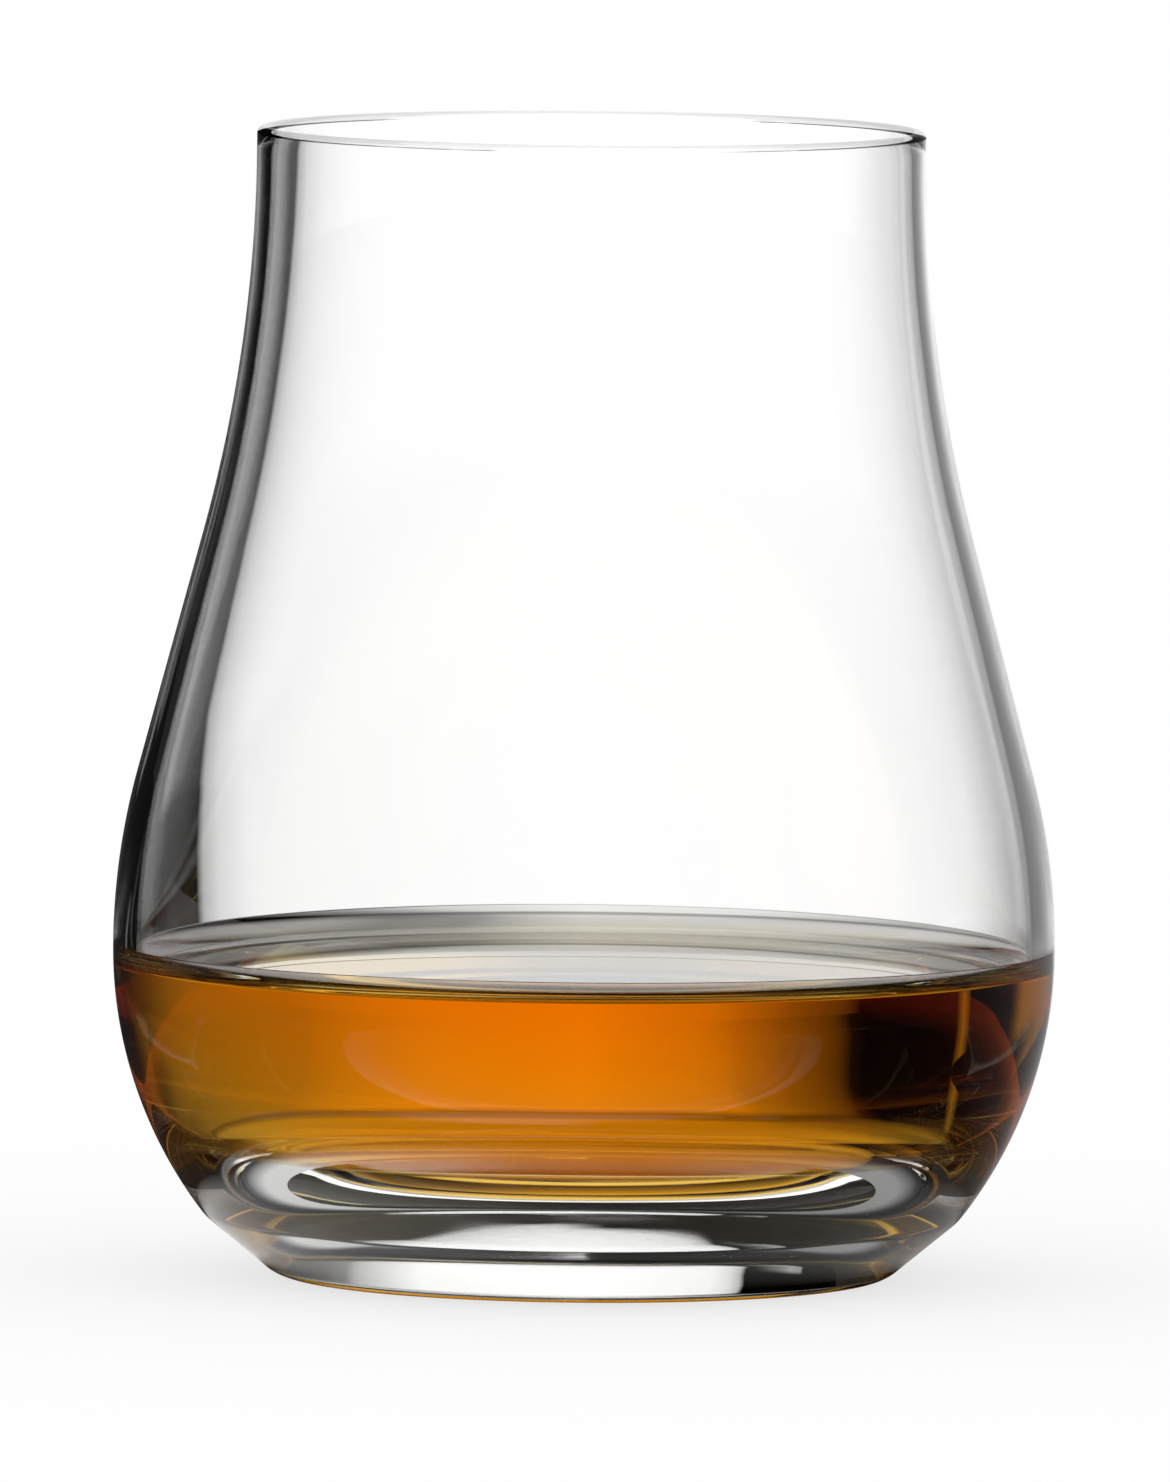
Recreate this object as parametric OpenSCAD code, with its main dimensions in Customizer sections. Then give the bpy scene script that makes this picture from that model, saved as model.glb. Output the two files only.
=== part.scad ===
// Whisky tumbler: one piece of clear glass with a heavy foot, and the whisky poured into it.
// Millimetres, +Z up. The origin is on the table, under the middle of the foot.

/* [Glass, outside] */
// Height from the table to the top of the lip
glass_h = 105; // [96:1:120]
// Diameter at the belly, the widest place
belly_d = 86; // [80:1:96]
// Height of the belly above the table
belly_z = 30; // [26:1:34]
// Height where the belly's curve runs out into the straight shoulder
shoulder_z = 46; // [40:1:54]
// Height where the straight shoulder runs into the neck's curve
throat_z = 68; // [60:1:80]
// Outer diameter of the lip
lip_d = 61; // [54:1:72]
// Height of the upright lip above the neck's curve
lip_h = 2; // [1:0.5:6]
// Radius of the bowl's curve from the belly down to the heel
bowl_r = 39.5; // [32:0.5:48]

/* [Foot] */
// Height of the heel, the soft edge where the foot turns in below the bowl
heel_z = 5.5; // [4:0.5:8]
// How much further the foot turns in than the bowl above it, in degrees
heel_turn = 12; // [4:1:18]
// Radius of the soft edge at the heel
heel_r = 5; // [1:0.5:12]
// Radius of the corner between the foot's flank and the ring that it stands on
foot_r = 4; // [1:0.5:6]
// Width of the flat ring that the glass stands on
stand_w = 4.5; // [2:0.5:8]
// Rise of the hollow under the foot
kick_h = 1; // [0.4:0.2:3]

/* [Glass, wall] */
// Thickness of the wall at the lip
lip_t = 1.3; // [0.9:0.1:2.4]
// Thickness of the wall at the belly
belly_t = 2.1; // [1.4:0.1:4]
// Height of the inside floor above the table
floor_z = 12; // [8:0.5:18]
// Diameter of the flat part of the inside floor
floor_d = 35; // [20:1:44]
// Radius of the inside curve just below the belly
side_r = 10; // [6:1:15]

/* [Whisky] */
// Depth of the whisky over the flat floor
pour_depth = 16; // [6:0.5:30]
// Height that the whisky's edge climbs up the wall
meniscus_h = 2.3; // [0.6:0.1:3]
// Radius of the curve in which it climbs
meniscus_r = 3.8; // [3:0.1:6]
// Clearance between the whisky and the glass
whisky_gap = 0.2; // [0.1:0.05:0.4]

/* [Hidden] */
$fn = 180;

belly_r = belly_d / 2;
lip_r = lip_d / 2;
lip_z = glass_h - lip_h;
floor_r = floor_d / 2;
pour_z = floor_z + pour_depth;
// Over-run of a cutting shape past the face that it cuts, and of an arc past its end
cut_over = 2;
// Arcs stand this much proud of their neighbours, so that their edges cross cleanly
blend = 0.0005;

// The lean of a straight stretch, from upright, between two arcs that end upright:
// the arcs are a and c high, the stretch is b high, and together they move in by d
function lean(a, b, c, d, low = 0, high = 80, steps = 40) =
    let (mid = (low + high) / 2, moved = (a + c) * tan(mid / 2) + b * tan(mid))
    steps == 0 ? mid
        : moved < d ? lean(a, b, c, d, mid, high, steps - 1)
        : lean(a, b, c, d, low, mid, steps - 1);

// The upper wall from a belly radius to a lip radius: its lean, the radii of the belly's
// and the neck's arcs, and the radii where they meet the straight shoulder
function wall_lean(belly, lip) =
    lean(shoulder_z - belly_z, throat_z - shoulder_z, lip_z - throat_z, belly - lip);
function belly_arc(belly, lip) = (shoulder_z - belly_z) / sin(wall_lean(belly, lip));
function neck_arc(belly, lip) = (lip_z - throat_z) / sin(wall_lean(belly, lip));
function shoulder_r(belly, lip) =
    belly - belly_arc(belly, lip) * (1 - cos(wall_lean(belly, lip)));
function throat_r(belly, lip) = lip + neck_arc(belly, lip) * (1 - cos(wall_lean(belly, lip)));

// The foot's flank leans in past the bowl's own slope at the heel
bowl_slope = asin((belly_z - heel_z) / bowl_r);
flank_lean = bowl_slope + heel_turn;
bowl_c = [belly_r - bowl_r, belly_z];
heel = bowl_c + bowl_r * [cos(bowl_slope), -sin(bowl_slope)];
flank_out = [cos(flank_lean), -sin(flank_lean)];
flank_up = [sin(flank_lean), cos(flank_lean)];

// The heel's soft edge touches the flank and, from inside, the bowl's arc
heel_depth = (heel - bowl_c) * flank_out - heel_r;
heel_reach = sqrt(pow(bowl_r - heel_r, 2) - pow(heel_depth, 2));
heel_c = bowl_c + heel_depth * flank_out + heel_reach * flank_up;
heel_low = heel_c + heel_r * flank_out;
heel_high = bowl_c + bowl_r * (heel_c - bowl_c) / norm(heel_c - bowl_c);

// The foot's corner touches the flank and the table
stand_r = heel[0] - heel_z * tan(flank_lean) - foot_r * tan(45 - flank_lean / 2);
foot_c = [stand_r, foot_r];
foot_high = foot_c + foot_r * flank_out;
kick_r = stand_r - stand_w;
kick_arc = (pow(kick_r, 2) + pow(kick_h, 2)) / (2 * kick_h);

// The inside of the bowl: a small arc, upright at the belly, runs into a wider sweep that is level at
// the floor. Drawn in by a clearance, both keep their centres
side_c = [belly_r - belly_t - side_r, belly_z];
sweep_in = side_c[0] - floor_r;
sweep_h = belly_z - floor_z;
sweep_r = (pow(sweep_in, 2) + pow(sweep_h, 2) - pow(side_r, 2)) / (2 * (sweep_h - side_r));
sweep_c = [floor_r, floor_z + sweep_r];
joint_out = (side_c - sweep_c) / norm(side_c - sweep_c);
function well_belly(gap) = [belly_r - belly_t - gap, belly_z];
function well_lip(gap) = lip_r - lip_t - gap;
function well_floor(gap) = [floor_r, floor_z + gap];
function well_joint(gap) = side_c + (side_r - gap) * joint_out;

// The radius of the inside wall at a height, drawn in by a clearance
function well_r(z, gap) =
    let (belly = well_belly(gap)[0], lip = well_lip(gap))
    z < well_joint(gap)[1] ? on_arc(sweep_c, sweep_r - gap, z)
        : z < belly_z ? on_arc(side_c, side_r - gap, z)
        : z < shoulder_z ? on_arc([belly - belly_arc(belly, lip), belly_z], belly_arc(belly, lip), z)
        : z < throat_z ? shoulder_r(belly, lip) - (z - shoulder_z) * tan(wall_lean(belly, lip))
        : lip + neck_arc(belly, lip) - sqrt(pow(neck_arc(belly, lip), 2) - pow(lip_z - z, 2));
function on_arc(c, r, z) = c[0] + sqrt(pow(r, 2) - pow(z - c[1], 2));

// The meniscus leaves the level surface here
meniscus_w = sqrt(pow(meniscus_r, 2) - pow(meniscus_r - meniscus_h, 2));
level_r = well_r(pour_z + meniscus_h, whisky_gap) - meniscus_w;

// The piece of a disc between a chord and its arc, running past either end where it is told to
module arc_piece(c, r, p, q, p_over = cut_over, q_over = cut_over) {
    out = ((p + q) / 2 - c) / norm((p + q) / 2 - c);
    along = (q - p) / norm(q - p);
    start = p - p_over * along;
    end = q + q_over * along;
    intersection() {
        translate(c) circle(r);
        polygon([start - cut_over * out, end - cut_over * out, end + r * out, start + r * out]);
    }
}

// Half section from the belly up: belly arc, straight shoulder, neck arc and upright lip
module upper_section(belly, lip, top) {
    wall_in = -2 * blend * [cos(wall_lean(belly, lip)), sin(wall_lean(belly, lip))];
    shoulder = [shoulder_r(belly, lip), shoulder_z] + wall_in;
    throat = [throat_r(belly, lip), throat_z] + wall_in;
    belly_c = [belly - belly_arc(belly, lip), belly_z];
    neck_c = [lip + neck_arc(belly, lip), lip_z];
    difference() {
        union() {
            polygon([[0, belly_z], [belly - blend, belly_z], shoulder, throat, [lip, lip_z], [lip, top], [0, top]]);
            arc_piece(belly_c, belly_arc(belly, lip) - blend, [belly, belly_z], shoulder, 0);
        }
        arc_piece(neck_c, neck_arc(belly, lip) + 6 * blend, throat, [lip, lip_z]);
    }
}

// Half section of the foot and the lower bowl
module foot_section() {
    flank_in = -blend * flank_out;
    polygon([
        [0, 0],
        [stand_r, 0],
        foot_high + flank_in,
        heel_low + flank_in,
        heel_high + flank_in,
        [belly_r - blend, belly_z],
        [0, belly_z]
    ]);
    arc_piece(foot_c, foot_r, [stand_r, 0], foot_high, 0);
    arc_piece(heel_c, heel_r + blend, heel_low, heel_high);
    arc_piece(bowl_c, bowl_r, heel_high, [belly_r, belly_z], 0);
}

// Half section of the inside, from the floor up to a height above the belly
module well_section(gap, top) {
    floor_edge = well_floor(gap) + [0, blend];
    polygon([[0, floor_edge[1]], floor_edge, well_joint(gap), well_belly(gap), [0, belly_z]]);
    arc_piece(sweep_c, sweep_r - gap, well_floor(gap), well_joint(gap), cut_over, 0);
    arc_piece(side_c, side_r - gap + blend, well_joint(gap), well_belly(gap));
    upper_section(well_belly(gap)[0], well_lip(gap), top);
}

// Half section of the shallow hollow under the foot
module kick_section() {
    intersection() {
        translate([0, kick_h - kick_arc]) circle(kick_arc);
        translate([0, -cut_over]) square([stand_r, kick_h + 2 * cut_over]);
    }
}

// Half section of the lip's rounded top, as wide as the wall
module lip_section() {
    intersection() {
        translate([lip_r - lip_t / 2, glass_h - lip_t / 2]) circle(lip_t / 2);
        translate([0, glass_h - lip_t / 2]) square([belly_d, lip_t]);
    }
}

// Half section of the air over the whisky: level, then curved up along the wall
module air_section() {
    square_h = 2 * meniscus_r;
    translate([0, pour_z]) square([level_r, square_h]);
    translate([level_r, pour_z + meniscus_r]) circle(meniscus_r);
}

// The glass: bowl, neck, lip and heavy foot are one piece
module tumbler() {
    color([0.93, 0.95, 0.96, 0.4])
        rotate_extrude() {
            difference() {
                union() {
                    foot_section();
                    upper_section(belly_r, lip_r, glass_h - lip_t / 2);
                }
                well_section(0, glass_h + cut_over);
                kick_section();
            }
            lip_section();
        }
}

// The whisky fills the bowl to its level and climbs a little up the wall
module whisky() {
    color([0.85, 0.42, 0.03, 0.8])
        rotate_extrude()
            difference() {
                intersection() {
                    well_section(whisky_gap, glass_h);
                    square([belly_d, pour_z + meniscus_r]);
                }
                air_section();
            }
}

tumbler();
whisky();
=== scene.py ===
# %% [markdown]
# # A whisky tumbler in glass and spirit
# The object is one piece of clear glass and the whisky in it. Both are round about one axis, so
# each is drawn as a half section and turned, as a glass is blown into a turned mould. The packed
# model is loaded first. It gives the size and the bodies that the pieces ride on.

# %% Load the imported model
import math
import bmesh
import bpy
from mathutils import Matrix, Vector


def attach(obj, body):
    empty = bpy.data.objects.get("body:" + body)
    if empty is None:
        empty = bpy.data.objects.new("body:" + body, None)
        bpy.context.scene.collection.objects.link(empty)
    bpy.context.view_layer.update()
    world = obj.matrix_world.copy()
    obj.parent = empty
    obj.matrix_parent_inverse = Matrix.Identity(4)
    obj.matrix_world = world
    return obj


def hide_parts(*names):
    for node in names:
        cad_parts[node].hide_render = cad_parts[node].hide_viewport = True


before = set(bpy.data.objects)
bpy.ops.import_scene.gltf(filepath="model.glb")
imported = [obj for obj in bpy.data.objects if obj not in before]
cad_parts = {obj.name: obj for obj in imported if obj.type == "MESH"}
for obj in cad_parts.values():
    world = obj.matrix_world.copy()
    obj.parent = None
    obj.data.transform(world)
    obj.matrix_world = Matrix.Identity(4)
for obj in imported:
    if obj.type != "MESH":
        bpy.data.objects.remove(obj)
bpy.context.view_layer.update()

# %% [markdown]
# ## Sizes
# The sizes are those of the part's source, in millimetres. They are kept as plain named numbers,
# so that the section below reads like a drawing, and are turned into metres where a vertex is
# made.

# %% Sizes of the glass and the pour
MM = 0.001
glass_h, lip_h = 105.0, 2.0
belly_r, belly_z = 43.0, 30.0
shoulder_z, throat_z = 46.0, 68.0
lip_r, lip_t = 30.5, 1.3
lip_z = glass_h - lip_h
bowl_r, belly_t = 39.5, 2.1
heel_z, heel_turn, heel_r = 5.5, 12.0, 5.0
foot_r, stand_w, kick_h = 4.0, 4.5, 1.0
floor_z, floor_r, side_r = 12.0, 17.5, 10.0
pour_z, climb = 28.0, 2.3
print("glass", glass_h, "mm high; whisky to", pour_z, "mm and", climb, "mm up the wall")

# %% [markdown]
# ## Drawing a half section
# A section could be a long list of points, but a maker draws it with compasses. So a pencil holds
# one vertex: an arc swings that vertex about the arc's centre with the spin operator, and a line
# extrudes it. Where arcs share a tangent, the glass is smooth without any fitting. A full spin
# about the upright axis then turns the section into a closed body.

# %% A pencil for half sections
class Pencil:
    """Draws a half section in the XZ plane with one vertex, then turns it about Z."""

    def __init__(self, r, z):
        self.bm = bmesh.new()
        self.tip = bmesh.ops.create_vert(self.bm, co=(r * MM, 0, z * MM))["vert"][0]

    def line(self, r, z, steps=1):
        start = self.tip.co.copy()
        end = Vector((r * MM, 0, z * MM))
        for i in range(1, steps + 1):
            new = bmesh.ops.extrude_vert_indiv(self.bm, verts=[self.tip])["verts"][0]
            move = start.lerp(end, i / steps) - self.tip.co
            bmesh.ops.translate(self.bm, verts=[new], vec=move)
            self.tip = new
        return self

    def arc(self, centre, turn, steps):
        """Swings the tip about a centre, anticlockwise where turn is above zero, in degrees."""
        swung = bmesh.ops.spin(
            self.bm, geom=[self.tip], cent=(centre[0] * MM, 0, centre[1] * MM), axis=(0, -1, 0),
            dvec=(0, 0, 0), angle=math.radians(turn), steps=steps,
            use_merge=False, use_normal_flip=False, use_duplicate=False)
        self.tip = next(e for e in swung["geom_last"] if isinstance(e, bmesh.types.BMVert))
        return self

    def turned(self, name, steps=240):
        bm = self.bm
        bmesh.ops.spin(
            bm, geom=bm.verts[:] + bm.edges[:], cent=(0, 0, 0), axis=(0, 0, 1),
            dvec=(0, 0, 0), angle=2 * math.pi, steps=steps,
            use_merge=True, use_normal_flip=False, use_duplicate=False)
        bmesh.ops.remove_doubles(bm, verts=bm.verts[:], dist=1e-7)
        bmesh.ops.dissolve_degenerate(bm, edges=bm.edges[:], dist=1e-8)
        bmesh.ops.recalc_face_normals(bm, faces=bm.faces[:])
        for face in bm.faces:
            face.smooth = True
        mesh = bpy.data.meshes.new(name)
        bm.to_mesh(mesh)
        bm.free()
        piece = bpy.data.objects.new(name, mesh)
        bpy.context.scene.collection.objects.link(piece)
        print(name, len(mesh.vertices), "vertices,", len(mesh.polygons), "faces")
        return piece


# %% [markdown]
# ## The curves of the wall
# From the belly to the lip, a wall is an arc, a straight shoulder and an opposite arc. Both arcs
# end upright, so one angle fixes them, the shoulder's lean. It is found by halving an interval.
# The inside of the bowl is a small arc, upright at the belly, that runs into a wider sweep, level
# at the floor. The sweep's radius follows from the places where it has to touch.

# %% Arcs of the wall and of the inside bowl
def wall_arcs(belly, lip):
    """The shoulder's lean in degrees, and the radii of the belly's and the neck's arcs."""
    belly_h, shoulder_h, neck_h = shoulder_z - belly_z, throat_z - shoulder_z, lip_z - throat_z
    low, high = 0.0, math.radians(80)
    for _ in range(50):
        mid = (low + high) / 2
        moved = (belly_h + neck_h) * math.tan(mid / 2) + shoulder_h * math.tan(mid)
        low, high = (mid, high) if moved < belly - lip else (low, mid)
    return math.degrees(low), belly_h / math.sin(low), neck_h / math.sin(low)


inner_belly, inner_lip = belly_r - belly_t, lip_r - lip_t
outer_lean, outer_belly_arc, outer_neck_arc = wall_arcs(belly_r, lip_r)
inner_lean, inner_belly_arc, inner_neck_arc = wall_arcs(inner_belly, inner_lip)
side_c = Vector((inner_belly - side_r, belly_z))
across, up = side_c.x - floor_r, belly_z - floor_z
sweep_r = (across ** 2 + up ** 2 - side_r ** 2) / (2 * (up - side_r))
sweep_c = Vector((floor_r, floor_z + sweep_r))
side_turn = math.degrees(math.atan2(sweep_c.y - side_c.y, across))
print("shoulder leans", round(outer_lean, 1), "degrees; inside sweep", round(sweep_r, 1), "mm")

# %% [markdown]
# ## The glass
# On the real tumbler the foot, the bowl, the neck and the lip are one gather of glass. The section
# goes from the middle of the hollow under the foot, round the standing ring, the foot's corner,
# the soft heel and the bowl, up to the rounded lip, and down the inside to the middle of the
# floor. The last number of each stroke is its count of steps.
# The wetted part of the inside gets its own material slot, because whisky on glass hardly shows a
# reflection while air on glass does. The lip's rounded top gets one too.

# %% Work out the foot and the heel
def outward(angle):
    """The direction that points out and down by an angle in radians."""
    return Vector((math.cos(angle), -math.sin(angle)))


contact_z = pour_z + climb
bowl_slope = math.degrees(math.asin((belly_z - heel_z) / bowl_r))
flank = math.radians(bowl_slope + heel_turn)
bowl_c = Vector((belly_r - bowl_r, belly_z))
heel = bowl_c + bowl_r * outward(math.radians(bowl_slope))
flank_out, flank_up = outward(flank), Vector((math.sin(flank), math.cos(flank)))
heel_depth = (heel - bowl_c).dot(flank_out) - heel_r
heel_reach = math.sqrt((bowl_r - heel_r) ** 2 - heel_depth ** 2)
heel_c = bowl_c + heel_depth * flank_out + heel_reach * flank_up
heel_low = heel_c + heel_r * flank_out
heel_end = math.degrees(math.atan2(heel_c.y - bowl_c.y, heel_c.x - bowl_c.x))
stand_r = heel.x - heel_z * math.tan(flank) - foot_r * math.tan(math.pi / 4 - flank / 2)
kick_r = stand_r - stand_w
kick_arc = (kick_r ** 2 + kick_h ** 2) / (2 * kick_h)
contact_turn = math.degrees(math.asin((contact_z - belly_z) / inner_belly_arc))
print("stands on a ring", round(kick_r, 2), "to", round(stand_r, 2), "mm from the axis")

# %% Draw and turn the glass
throat_out = lip_r + outer_neck_arc * (1 - math.cos(math.radians(outer_lean)))
shoulder_in = inner_belly - inner_belly_arc * (1 - math.cos(math.radians(inner_lean)))
belly_in_c = (inner_belly - inner_belly_arc, belly_z)

p = Pencil(0, kick_h)
p.arc((0, kick_h - kick_arc), -math.degrees(math.asin(kick_r / kick_arc)), 16)
p.line(stand_r, 0, 4)
p.arc((stand_r, foot_r), 90 - math.degrees(flank), 12)
p.line(heel_low.x, heel_low.y, 6)
p.arc(heel_c, math.degrees(flank) + heel_end, 8)
p.arc(bowl_c, -heel_end, 44)
p.arc((belly_r - outer_belly_arc, belly_z), outer_lean, 20)
p.line(throat_out, throat_z, 4)
p.arc((lip_r + outer_neck_arc, lip_z), -outer_lean, 20)
p.line(lip_r, glass_h - lip_t / 2)
p.arc((lip_r - lip_t / 2, glass_h - lip_t / 2), 180, 16)
p.line(inner_lip, lip_z)
p.arc((inner_lip + inner_neck_arc, lip_z), inner_lean, 20)
p.line(shoulder_in, shoulder_z, 4)
p.arc(belly_in_c, contact_turn - inner_lean, 16)
p.arc(belly_in_c, -contact_turn, 4)
p.arc(side_c, -side_turn, 20)
p.arc(sweep_c, side_turn - 90, 36)
p.line(0, floor_z, 8)
glass = p.turned("glass_body")

# %% Mark the wetted faces and the lip, and tie the glass to its body
WETTED, LIP = 1, 2
for face in glass.data.polygons:
    from_axis = Vector((face.center.x, face.center.y, 0))
    inside = face.normal.dot(from_axis) <= 1e-9 and face.center.z > (floor_z - 1) * MM
    if inside and face.center.z < contact_z * MM:
        face.material_index = WETTED
    elif face.center.z > (glass_h - lip_t / 2) * MM:
        face.material_index = LIP
slots = [face.material_index for face in glass.data.polygons]
print("wetted faces:", slots.count(WETTED), "lip faces:", slots.count(LIP), "of", len(slots))
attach(glass, "tumbler")
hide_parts("tumbler")

# %% [markdown]
# ## The whisky
# The pour fills the inside bowl. Its skin is set a hair's breadth into the glass, so that no film
# of air lies between them and a ray passes from glass to spirit as it does in the real one.
# At the wall a liquid climbs: where it has risen by h its slope s obeys sin(s / 2) = h / (2 c),
# with c the capillary length, 1.74 mm for a strong spirit. A few arcs with those slopes make the
# edge.

# %% Draw and turn the whisky
soak = 0.05
capillary = 1.74
wall = inner_belly_arc + soak
edge_turn = math.degrees(math.asin((contact_z - belly_z) / wall))
edge_r = inner_belly - inner_belly_arc + wall * math.cos(math.radians(edge_turn))
tip_r = edge_r - 2 * soak

p = Pencil(0, floor_z - soak)
p.line(floor_r, floor_z - soak, 8)
p.arc(sweep_c, 90 - side_turn, 36)
p.arc(side_c, side_turn, 20)
p.arc(belly_in_c, edge_turn, 4)
p.line(tip_r, contact_z)
rises = [climb, 1.5, 0.8, 0.4, 0.1, 0.0]
for high, low in zip(rises, rises[1:]):
    steep, gentle = 2 * math.asin(high / 2 / capillary), 2 * math.asin(low / 2 / capillary)
    radius = (high - low) / (math.cos(gentle) - math.cos(steep))
    centre = (tip_r - radius * math.sin(steep), pour_z + high + radius * math.cos(steep))
    p.arc(centre, -math.degrees(steep - gentle), 8)
    tip_r -= radius * (math.sin(steep) - math.sin(gentle))
p.line(0, pour_z, 10)
whisky = p.turned("whisky_pour")
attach(whisky, "whisky")
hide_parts("whisky")

# %% [markdown]
# ## Writing shaders as sums
# A shader's maths reads best as a formula. A wire is a socket with operators: adding or
# multiplying two wires makes a Math node. Any other node comes from one method, which sets the
# node's own settings first and then its sockets.

# %% Wires and nodes
class Wire:
    """An output socket that can be added, subtracted, multiplied and divided."""

    def __init__(self, board, socket):
        self.board, self.socket = board, socket

    def maths(self, operation, first, second):
        return self.board.node("ShaderNodeMath", {"operation": operation}, {0: first, 1: second})

    def __add__(self, other):
        return self.maths("ADD", self, other)

    def __radd__(self, other):
        return self.maths("ADD", other, self)

    def __sub__(self, other):
        return self.maths("SUBTRACT", self, other)

    def __rsub__(self, other):
        return self.maths("SUBTRACT", other, self)

    def __mul__(self, other):
        return self.maths("MULTIPLY", self, other)

    def __rmul__(self, other):
        return self.maths("MULTIPLY", other, self)

    def __truediv__(self, other):
        return self.maths("DIVIDE", self, other)

    def __rtruediv__(self, other):
        return self.maths("DIVIDE", other, self)


class Board:
    """The node tree of a material or a world, emptied and ready to be wired."""

    def __init__(self, owner):
        owner.use_nodes = True
        self.tree = owner.node_tree
        self.tree.nodes.clear()

    def node(self, kind, settings=None, sockets=None, out=0):
        """Adds a node, applies its settings, fills its sockets, and returns outputs as wires."""
        made = self.tree.nodes.new(kind)
        for name, value in (settings or {}).items():
            if name == "stops":
                points = made.color_ramp.elements
                while len(points) < len(value):
                    points.new(0.5)
                for point, (place, level) in zip(points, value):
                    point.position = place
                    point.color = (level, level, level, 1)
            else:
                setattr(made, name, value)
        for name, value in (sockets or {}).items():
            if isinstance(value, Wire):
                self.tree.links.new(value.socket, made.inputs[name])
            else:
                made.inputs[name].default_value = value
        if isinstance(out, tuple):
            return [Wire(self, made.outputs[name]) for name in out]
        return Wire(self, made.outputs[out]) if made.outputs else made


# %% [markdown]
# ## Clear glass
# Fire-polished glass has no colour of its own and no haze. What gives a blown piece away is that
# its surface isn't quite true: long soft waves left by the blowing, far too shallow to feel. They
# are a faint bump, stretched round the axis as the glass turned in the mould.
# The wetted slot is the same glass with its reflection taken down, since spirit against glass
# reflects less than a hundredth of what air does. A lip that was melted round in a flame is so
# thin and even that it hardly shows against a pale room, so its slot lets most light straight
# through.

# %% The glass finish
CRYSTAL_IOR, SPIRIT_IOR = 1.52, 1.36
WHITE = (1.0, 1.0, 1.0, 1.0)
DRY_WAVE, WET_WAVE = 0.02 * MM, 0.03 * MM
LIP_CLEAR = 0.8


def blown_glass(name, tint, wave, straight=0.0):
    """Glass with a share of reflection, a depth of wave and a share of light that isn't bent."""
    material = bpy.data.materials.new(name)
    board = Board(material)
    place = board.node("ShaderNodeTexCoord", out="Object")
    stretched = board.node("ShaderNodeMapping", {}, {"Vector": place, "Scale": (1.0, 1.0, 2.2)})
    waves = board.node("ShaderNodeTexNoise", {}, {
        "Vector": stretched, "Scale": 38.0, "Detail": 1.0, "Roughness": 0.4})
    bump = board.node("ShaderNodeBump", {}, {"Height": waves, "Strength": 1.0, "Distance": wave})
    surface = board.node("ShaderNodeBsdfPrincipled", {}, {
        "Base Color": WHITE, "Roughness": 0.0, "IOR": CRYSTAL_IOR, "Transmission Weight": 1.0,
        "Specular Tint": (tint, tint, tint, 1.0), "Normal": bump})
    if straight:
        clear = board.node("ShaderNodeBsdfTransparent")
        surface = board.node("ShaderNodeMixShader", {}, {0: straight, 1: surface, 2: clear})
    board.node("ShaderNodeOutputMaterial", {}, {"Surface": surface})
    return material


glass.data.materials.append(blown_glass("clear_glass", 1.0, DRY_WAVE))
glass.data.materials.append(blown_glass("wetted_glass", 0.0, WET_WAVE))
glass.data.materials.append(blown_glass("lip_glass", 1.0, DRY_WAVE, LIP_CLEAR))
print("glass slots:", [m.name for m in glass.data.materials])

# %% [markdown]
# ## Whisky
# The amber comes from depth: a thin layer is straw, a thick one red-brown. So the colour is an
# absorption in the volume, with a clear skin that bends light as spirit does.

# %% The whisky finish
amber = bpy.data.materials.new("whisky")
board = Board(amber)
skin = board.node("ShaderNodeBsdfPrincipled", {}, {
    "Base Color": WHITE, "Roughness": 0.0, "IOR": SPIRIT_IOR, "Transmission Weight": 1.0,
    "Specular Tint": (0.0, 0.0, 0.0, 1.0)})
depth = board.node("ShaderNodeVolumeAbsorption", {}, {
    "Color": (0.99, 0.784, 0.0, 1.0), "Density": 98.0})
board.node("ShaderNodeOutputMaterial", {}, {"Surface": skin, "Volume": depth})
whisky.data.materials.append(amber)
print("whisky slot:", amber.name)

# %% [markdown]
# ## The studio
# Clear glass shows only what is round it. Photographers light it from behind, with a white card,
# and keep dark fields on either side of the card, which draw the dark edges. So the studio is a
# brightness for each place that a ray can end at: the floor, the sky and a card close behind the
# glass. Rays that passed through the glass see all of it, and mirrored rays see a plainer room.
# What the camera sees directly is white, and the floor keeps a soft shadow.
# The levels were set for the view from the front, and they fit that view best. At the sides
# and in front the floor is pale for these rays, so from the side and from behind the glass is
# light grey with a dark foot. From the front right a dark field shows through the neck.
# Each level is a list of stops, with a place and the brightness there. For the floor, the sky and
# the mirrored room the place is a bearing in degrees: nought is straight behind the glass, and the
# right-hand side counts up. Under the foot, in the skirt round it and on the card it is in
# millimetres.

# %% Brightness round the glass
FAR_FLOOR = [
    (-180, 0.8), (-110, 0.75), (-75, 0.6), (-55, 0.25), (-50, 0.05), (-48, 0), (-20, 0),
    (-16, 0.95), (0, 1.15), (30, 0.9), (45, 0.3), (60, 0.02), (66, 0.02), (80, 0.5),
    (110, 0.75), (180, 0.8)]
BACK_FLOOR = [
    (-180, 0.8), (-110, 0.75), (-75, 0.6), (-60, 0.35), (-50, 0.3), (-47, 0.05), (-45, 0),
    (-32.6, 0), (-32.3, 0.3), (-31.6, 0.3), (-31.3, 0), (-17, 0), (-15.6, 0.1), (-11.5, 0.27),
    (-8.4, 0.5), (-6.5, 0.72), (0, 0.97), (7.8, 0.87), (18.5, 0.5), (36, 0.36), (48.5, 0.14),
    (60, 0.03), (66, 0.03), (80, 0.5), (110, 0.75), (180, 0.8)]
LOW_SKY = [
    (-180, 0), (-50, 0.02), (-20, 0.02), (-16, 0.95), (0, 1.15), (30, 0.9), (45, 0.3),
    (60, 0.02), (90, 0), (180, 0)]
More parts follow.
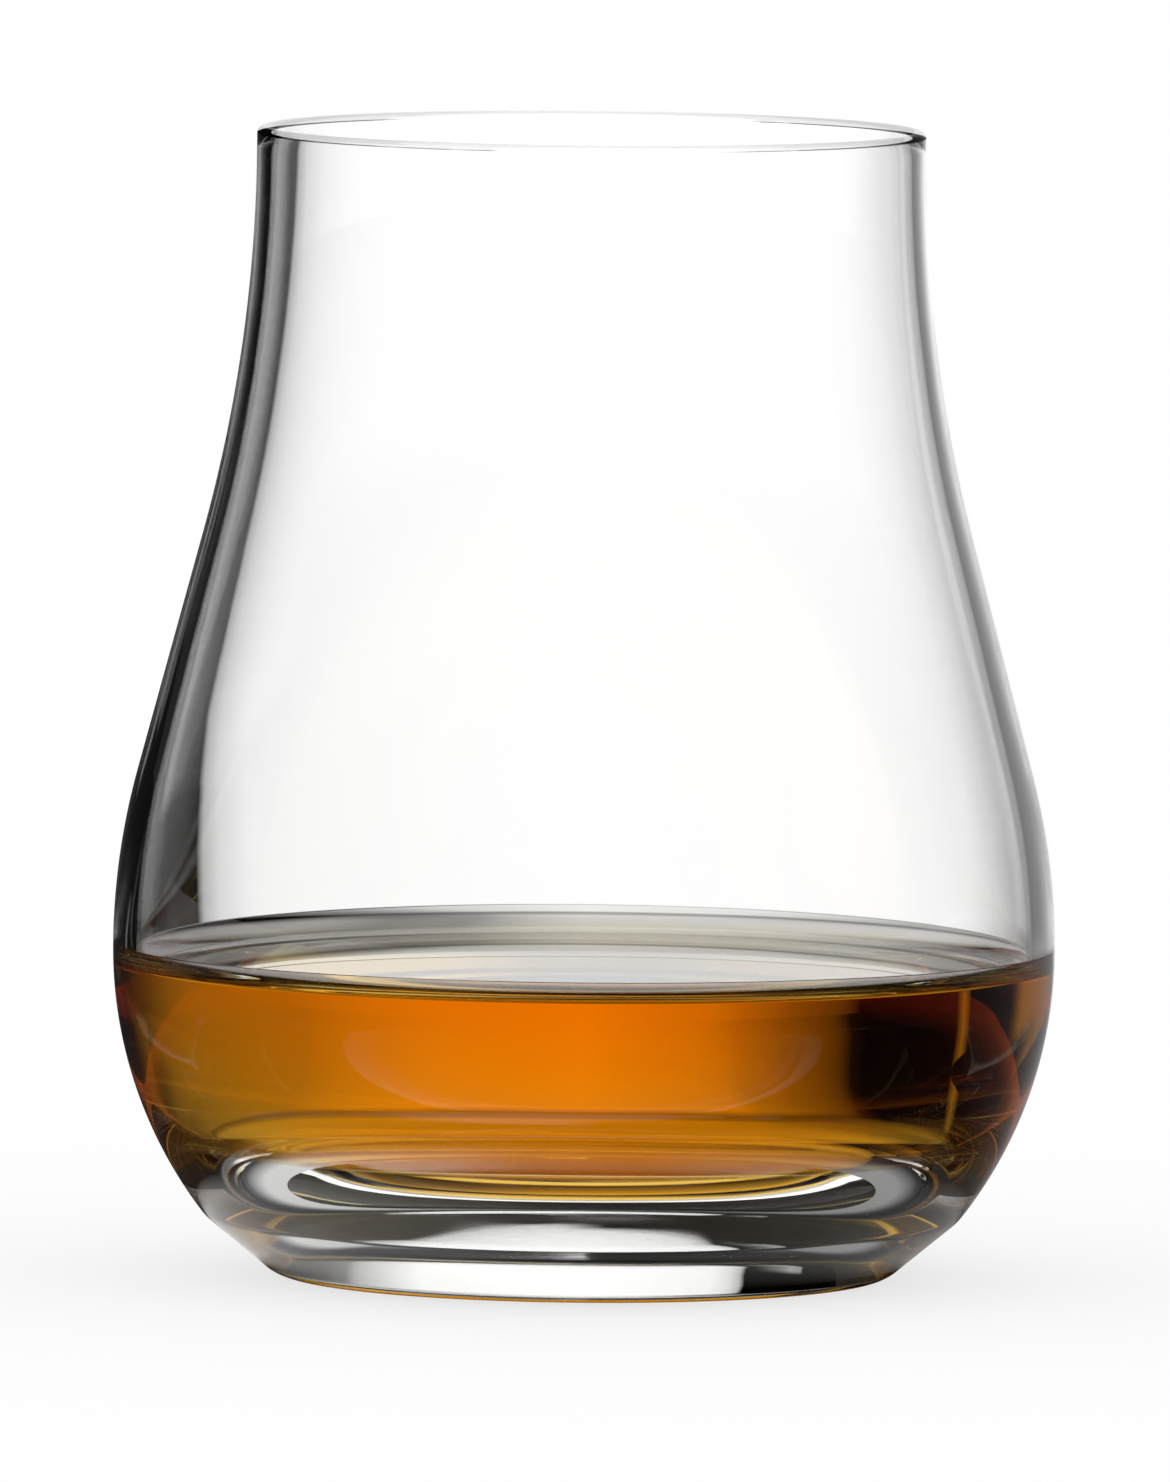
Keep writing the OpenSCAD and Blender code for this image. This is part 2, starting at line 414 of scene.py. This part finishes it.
HIGH_SKY = [
    (-180, 0.01), (-60, 0.01), (0, 0.005), (50, 0.01), (70, 0.04), (110, 0.04), (140, 0.02),
    (180, 0.01)]
MIRRORED = [
    (-180, 0), (-90, 0.02), (-20, 0.02), (-6, 0.05), (-4, 0.9), (8, 1), (14, 0.8), (20, 0.35),
    (45, 0.2), (60, 0.1), (90, 0.02), (180, 0)]
UNDER_SIDES = [(-30, 0.8), (-12, 0.6), (-5, 0.25), (5, 0.15), (12, 0.25), (30, 0.35)]
UNDER_RINGS = [
    (0, 0.15), (17, 0.15), (19, 1), (24, 1), (26, 0.1), (29, 0.1), (31, 0.9), (45, 0.9)]
SKIRT = [
    (-60, 0.15), (-34, 0.32), (-24, 0.4), (-17, 0.27), (-10, 0.32), (-4, 0.6), (0, 0.7),
    (100, 0.7)]
CARD_LEFT = [(-57.5, 0), (-55, 0.5), (-50, 0.76), (-42, 0.93), (0, 1)]
CARD_RIGHT = [
    (0, 1.18), (60, 1.15), (85, 0.8), (100, 0.6), (110, 0.3), (130, 0.2), (220, 0.12)]
CARD_GLOW = [(-92, 0), (-90, 0.35), (-83, 0.42), (-76, 0.22), (-65, 0.04), (-60, 0)]
CARD_FOOT = [
    (-57, 0), (-52, 0.1), (-38, 0.27), (-28, 0.5), (-21, 0.72), (0, 0.97), (26, 0.87),
    (64, 0.5), (140, 0.36), (220, 0.14)]
print("studio stops:", len(BACK_FLOOR), "behind the glass,", len(MIRRORED), "mirrored")

# %% Helpers for the levels
IN_MM = 1000


def along(value, stops):
    """A level that follows a value from stop to stop."""
    low, high = stops[0][0], stops[-1][0]
    places = [((place - low) / (high - low), level) for place, level in stops]
    share = (value - low) / (high - low)
    return value.board.node("ShaderNodeValToRGB", {"stops": places}, {"Fac": share})


def rise(value, low, high):
    """Nought below low, one above high, and even between them."""
    return value.board.node("ShaderNodeMapRange", {}, {
        "Value": value, "From Min": low, "From Max": high})


def blend(first, second, share):
    return first + (second - first) * share


def axes(board, vector):
    return board.node("ShaderNodeSeparateXYZ", {}, {"Vector": vector}, out=("X", "Y", "Z"))


def bearing(x, y):
    return x.maths("ARCTAN2", x, y) * (180 / math.pi)


def rays(board):
    """Whether a ray passed through glass last, and whether glass sent it in any way."""
    through, mirrored = board.node(
        "ShaderNodeLightPath", out=("Is Transmission Ray", "Is Glossy Ray"))
    return through, through.maths("MAXIMUM", through, mirrored)


# %% [markdown]
# ### The floor
# The floor has zones. Under the foot one ring lights the edge of the inside bowl, and a wider one
# the foot. Beside and behind the foot a skirt of even light lies under the whisky's surface.
# Further back the floor carries the light and dark fields that colour the whisky, and far out
# those of the room. A dim ring between the skirt and the fields draws the line where the whisky's
# surface meets the back wall.

# %% Zones of the floor, in metres
FLOOR_R = 30.0
SOLE = (0.029, 0.031)
FOOT = (0.042, 0.047)
BEHIND = (0.045, 0.07)
SIDE_EDGE, BACK_EDGE = (0.10, 0.16), (0.10, 0.14)
RING_IN, RING_OUT, RING_DIM = (0.114, 0.122), (0.134, 0.15), 0.65
FIELDS_FROM = 0.05
ROOM = (0.4, 0.6)
FRONT_LEVEL = 0.05
SHADED, LIFTED = (0.27, 0.27, 0.27, 1), (0.73, 0.73, 0.73, 1)
print("floor radius", FLOOR_R, "m; the foot's zone ends at", FOOT[1], "m")

# %% The floor
floor_mesh = bpy.data.meshes.new("floor")
bm = bmesh.new()
bmesh.ops.create_circle(bm, cap_ends=True, radius=FLOOR_R, segments=128)
bm.to_mesh(floor_mesh)
bm.free()
floor = bpy.data.objects.new("floor", floor_mesh)
bpy.context.scene.collection.objects.link(floor)
pale = bpy.data.materials.new("pale_floor")
board = Board(pale)
place = board.node("ShaderNodeTexCoord", out="Object")
x, y, _ = axes(board, place)
out = board.node("ShaderNodeVectorMath", {"operation": "LENGTH"}, {0: place}, out="Value")
through, by_glass = rays(board)
fields = along(bearing(x, y - FIELDS_FROM), BACK_FLOOR)
back = blend(fields, along(bearing(x, y), FAR_FLOOR), rise(out, *ROOM))
behind = rise(y, *BEHIND)
beside = blend(FRONT_LEVEL, along(x * IN_MM, SKIRT), behind)
ring = rise(out, *RING_IN) * (1 - rise(out, *RING_OUT)) * behind * RING_DIM
edge = rise(out, *SIDE_EDGE) * (1 - behind) + rise(out, *BACK_EDGE) * behind
rings = blend(rise(out, *SOLE), along(out * IN_MM, UNDER_RINGS), through)
under = along(x * IN_MM, UNDER_SIDES) * rings
room = blend(beside, back * (1 - ring), edge)
around = blend(along(bearing(x, y), MIRRORED), room, through)
level = blend(under, around, rise(out, *FOOT))
seen = board.node("ShaderNodeEmission", {}, {"Color": level})
matt = board.node("ShaderNodeBsdfDiffuse", {}, {"Color": SHADED})
lift = board.node("ShaderNodeEmission", {}, {"Color": LIFTED})
lit = board.node("ShaderNodeAddShader", {}, {0: matt, 1: lift})
mixed = board.node("ShaderNodeMixShader", {}, {0: by_glass, 1: lit, 2: seen})
board.node("ShaderNodeOutputMaterial", {}, {"Surface": mixed})
floor_mesh.materials.append(pale)
print("floor", [round(c, 2) for c in floor.dimensions])

# %% [markdown]
# ### The card
# A white card stands 0.23 m behind the glass. Its left edge is sharp and leans a little, and beyond
# it, after a dark gap, a weak glow makes the pale streak in the left wall. Near the table the card
# falls off to both sides as the floor does, and its top is dark. Only rays through the glass see
# it.

# %% Zones of the card, in metres
CARD_X, CARD_Y, CARD_Z = (-0.13, 0.22), 0.23, (0.003, 0.25)
LEAN_Z, LEAN = 0.085, 0.18
LOW_Z, LOW_LEAN = 0.035, 0.5
FOOT_END, GLOW_START = (0.009, 0.014), (0.025, 0.029)
LEFT_END, LEFT_SIDE = (0.115, 0.125), (-0.01, 0.01)
TOP_END = (0.14, 0.16)
card_w, card_h = CARD_X[1] - CARD_X[0], CARD_Z[1] - CARD_Z[0]
print("card", round(card_w, 3), "m wide and", round(card_h, 3), "m high")

# %% The card behind the glass
card_mesh = bpy.data.meshes.new("card")
bm = bmesh.new()
middle = Matrix.Translation((sum(CARD_X) / 2, CARD_Y, sum(CARD_Z) / 2))
upright = Matrix.Diagonal((card_w, 1, card_h, 1)) @ Matrix.Rotation(math.pi / 2, 4, "X")
bmesh.ops.create_grid(bm, x_segments=1, y_segments=1, size=0.5, matrix=middle @ upright)
bm.to_mesh(card_mesh)
bm.free()
card = bpy.data.objects.new("card", card_mesh)
bpy.context.scene.collection.objects.link(card)
card.visible_camera = card.visible_diffuse = card.visible_glossy = card.visible_shadow = False
white = bpy.data.materials.new("white_card")
board = Board(white)
x, _, z = axes(board, board.node("ShaderNodeTexCoord", out="Object"))
low = z.maths("MAXIMUM", LOW_Z - z, 0.0)
leaning = (x + (LEAN_Z - z) * LEAN - low * LOW_LEAN) * IN_MM
glow = along(leaning, CARD_GLOW) * rise(z, *GLOW_START)
full = along(leaning, CARD_LEFT) * along(x * IN_MM, CARD_RIGHT) + glow
lower = blend(along(x * IN_MM, CARD_FOOT), full, rise(z, *FOOT_END))
left_top = rise(z, *LEFT_END) * (1 - rise(x, *LEFT_SIDE))
level = lower * (1 - left_top) * (1 - rise(z, *TOP_END))
shine = board.node("ShaderNodeEmission", {}, {"Color": level})
board.node("ShaderNodeOutputMaterial", {}, {"Surface": shine})
card_mesh.materials.append(white)
print("card", [round(c, 3) for c in card.dimensions])

# %% [markdown]
# ### The sky
# The world is even and white for the floor and the camera. Rays through the glass see a low sky
# that goes on from the floor behind it, and a high sky that is almost dark, because a bright one
# would put a yellow haze into the base.

# %% The world
HIGH_FROM = (0.35, 0.5)
world = bpy.data.worlds.new("studio")
bpy.context.scene.world = world
board = Board(world)
x, y, z = axes(board, board.node("ShaderNodeTexCoord", out="Generated"))
turn = bearing(x, y)
through, by_glass = rays(board)
room = blend(along(turn, LOW_SKY), along(turn, HIGH_SKY), rise(z, *HIGH_FROM))
level = blend(1.0, blend(along(turn, MIRRORED), room, through), by_glass)
sky = board.node("ShaderNodeBackground", {}, {"Color": level})
board.node("ShaderNodeOutputWorld", {}, {"Surface": sky})
print("world:", world.name)

# %% [markdown]
# ## The camera
# The photograph was taken from about 2.6 m with a long lens, a little above the rim: the lip's
# ellipse is flatter than the foot's, and that difference gives the distance. The picture leans
# half a degree.

# %% Set the camera
PHOTO_H, BELLY_PX, FOOT_ROW = 1482, 945, 1277.5
ROW_MM, LEAN_DEG, SIDE_PX = 0.0913, 0.55, -1.0
scale = 2 * belly_r * MM / BELLY_PX
distance, height = 2.6, 0.242
aim_z = (FOOT_ROW - PHOTO_H / 2) * ROW_MM * MM
lens = bpy.data.cameras.new("camera")
lens.lens = distance / scale * lens.sensor_width / PHOTO_H
lens.clip_end = 100
lens.shift_x = SIDE_PX / PHOTO_H
camera = bpy.data.objects.new("camera", lens)
bpy.context.scene.collection.objects.link(camera)
down = math.atan2(height - aim_z, distance)
look = Vector((0, math.cos(down), -math.sin(down)))
camera.matrix_world = (
    Matrix.Translation((0, -distance, height))
    @ look.to_track_quat("-Z", "Y").to_matrix().to_4x4()
    @ Matrix.Rotation(math.radians(LEAN_DEG), 4, "Z"))
bpy.context.scene.camera = camera
print("lens", round(lens.lens), "mm, looking", round(math.degrees(down), 2), "degrees down")

# %% [markdown]
# ## Light paths
# A ray through the glass and the whisky crosses many faces and is often mirrored inside before it
# leaves, so it needs more bounces than an opaque object does.

# %% Render settings of the glass
scene = bpy.context.scene
scene.view_settings.view_transform = "Standard"
scene.cycles.max_bounces = 32
scene.cycles.transmission_bounces = 32
scene.cycles.glossy_bounces = 16
scene.cycles.caustics_refractive = True
scene.cycles.caustics_reflective = True
print("bounces:", scene.cycles.max_bounces)
